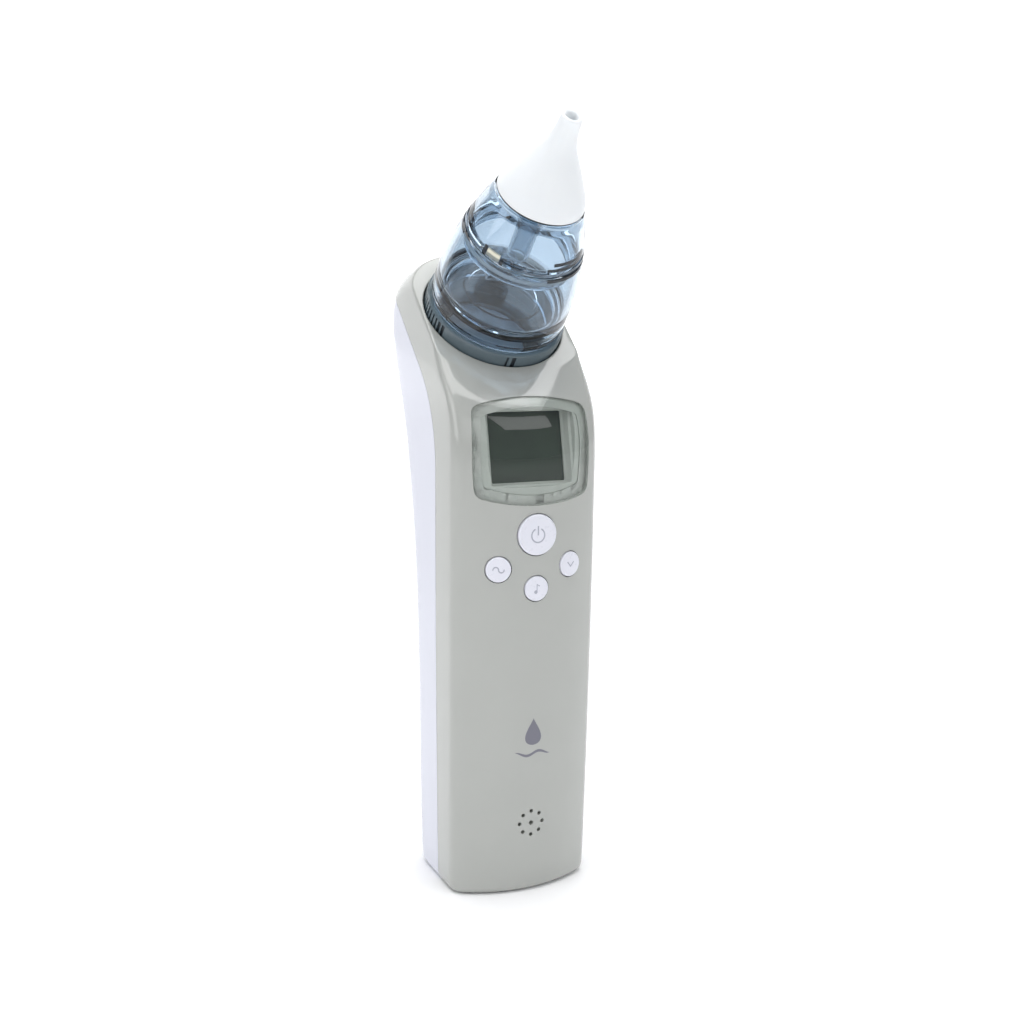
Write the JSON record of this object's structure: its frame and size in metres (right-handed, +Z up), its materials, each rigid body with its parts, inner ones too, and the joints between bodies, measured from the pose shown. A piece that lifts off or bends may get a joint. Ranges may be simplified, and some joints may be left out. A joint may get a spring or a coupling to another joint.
{
  "type": "nasal aspirator",
  "caption": "Battery nasal aspirator: grey and white upright handle with display and buttons, leaning smoky clear collection cup and soft white tip.",
  "frame": {"origin": "middle of the flat base that the unit stands on", "axes": "+Z up along the handle, -Y towards the display and buttons, +X to the right seen from the front"},
  "size_m": [0.0426, 0.0793, 0.2063],
  "materials": {
    "front_shell": "polished warm grey ABS",
    "rear_shell": "polished white ABS",
    "clear_lens": "clear acrylic",
    "bezel_grey": "satin grey ABS",
    "lcd_panel": "dark liquid-crystal glass",
    "circuit_board": "green solder mask",
    "switch_metal": "stamped steel",
    "pad_rubber": "moulded silicone rubber",
    "speaker_frame": "black basket",
    "cell_wrap": "plain wrapped cell",
    "inner_plastic": "moulded nylon",
    "contact_steel": "nickel-plated spring steel",
    "screw_steel": "zinc-plated steel",
    "motor_steel": "drawn steel can",
    "bearing_bronze": "sintered bronze",
    "shaft_steel": "ground steel",
    "seal_rubber": "dark rubber",
    "hose_silicone": "milky silicone tube",
    "felt": "pressed filter felt",
    "collar_smoke": "dark smoky polycarbonate",
    "cup_smoke": "smoky clear polycarbonate",
    "tip_silicone": "soft white silicone",
    "button_white": "white ABS"
  },
  "bodies": {
    "root": {"front_cover": "front_shell", "rear_cover": "rear_shell", "display_lens": "clear_lens", "display_bezel": "bezel_grey", "lcd_module": "lcd_panel", "main_pcb": "circuit_board", "tact_switches": "switch_metal", "keypad_membrane": "pad_rubber", "speaker_gasket": "pad_rubber", "speaker": "speaker_frame", "battery_cells": "cell_wrap", "battery_tray": "inner_plastic", "contact_springs": "contact_steel", "contact_plates": "contact_steel", "casing_screws": "screw_steel", "motor_can": "motor_steel", "motor_end_cap": "inner_plastic", "motor_bearing": "bearing_bronze", "pump_housing": "inner_plastic", "pump_lid": "inner_plastic", "diaphragm": "seal_rubber", "valve_plate": "inner_plastic", "pump_head_cap": "inner_plastic", "pump_bolts": "screw_steel", "pump_bracket": "pad_rubber", "suction_hose": "hose_silicone", "exhaust_muffler": "felt", "cup_socket": "collar_smoke", "socket_seal": "seal_rubber"},
    "power_button": {"power_button": "button_white"},
    "left_button": {"left_button": "button_white"},
    "right_button": {"right_button": "button_white"},
    "music_button": {"music_button": "button_white"},
    "battery_door": {"battery_door": "rear_shell", "door_latch": "rear_shell"},
    "crank": {"crank_shaft": "shaft_steel"},
    "connecting_rod": {"pump_rod": "inner_plastic"},
    "cup": {"collection_cup": "cup_smoke", "plug_seal": "seal_rubber", "cup_filter": "felt", "splash_cap": "cup_smoke"},
    "cover": {"cup_cover": "cup_smoke", "cover_seal": "seal_rubber", "drip_tube": "cup_smoke"},
    "tip": {"nozzle_tip": "tip_silicone"}
  },
  "joints": [
    {"name": "power_button_press", "type": "slide", "parent": "root", "child": "power_button", "axis": [0, 1, 0], "range_m": [0, 0.0008], "stiffness_N_per_m": 900, "springref_m": -0.0006},
    {"name": "left_button_press", "type": "slide", "parent": "root", "child": "left_button", "axis": [0.2763, 0.9611, 0], "range_m": [0, 0.0008], "stiffness_N_per_m": 900, "springref_m": -0.0006},
    {"name": "right_button_press", "type": "slide", "parent": "root", "child": "right_button", "axis": [-0.2763, 0.9611, 0], "range_m": [0, 0.0008], "stiffness_N_per_m": 900, "springref_m": -0.0006},
    {"name": "music_button_press", "type": "slide", "parent": "root", "child": "music_button", "axis": [0, 1, 0], "range_m": [0, 0.0008], "stiffness_N_per_m": 900, "springref_m": -0.0006},
    {"name": "battery_door_swing", "type": "hinge", "parent": "root", "child": "battery_door", "pos_m": [0, 0.019, 0.01], "axis": [-1, 0, 0], "range_deg": [0, 75]},
    {"name": "crank_spin", "type": "hinge", "parent": "root", "child": "crank", "pos_m": [0, 0.0095, 0.1], "axis": [0, 0, 1], "continuous": true, "deforming": ["diaphragm"]},
    {"name": "rod_follow", "type": "hinge", "parent": "crank", "child": "connecting_rod", "pos_m": [0, 0.0101, 0.103], "axis": [0, 0, 1], "continuous": true},
    {"name": "cup_pull", "type": "slide", "parent": "root", "child": "cup", "axis": [0, -0.6756, 0.7373], "range_m": [0, 0.014]},
    {"name": "cover_twist", "type": "hinge", "parent": "cup", "child": "cover", "pos_m": [0, 0.0113, 0.1572], "axis": [0, -0.6756, 0.7373], "range_deg": [0, 30]},
    {"name": "tip_pull", "type": "slide", "parent": "cover", "child": "tip", "axis": [0, -0.6756, 0.7373], "range_m": [0, 0.01]}
  ],
  "couplings": [
    {"joint": "rod_follow", "follows": "crank_spin", "ratio": -1}
  ]
}
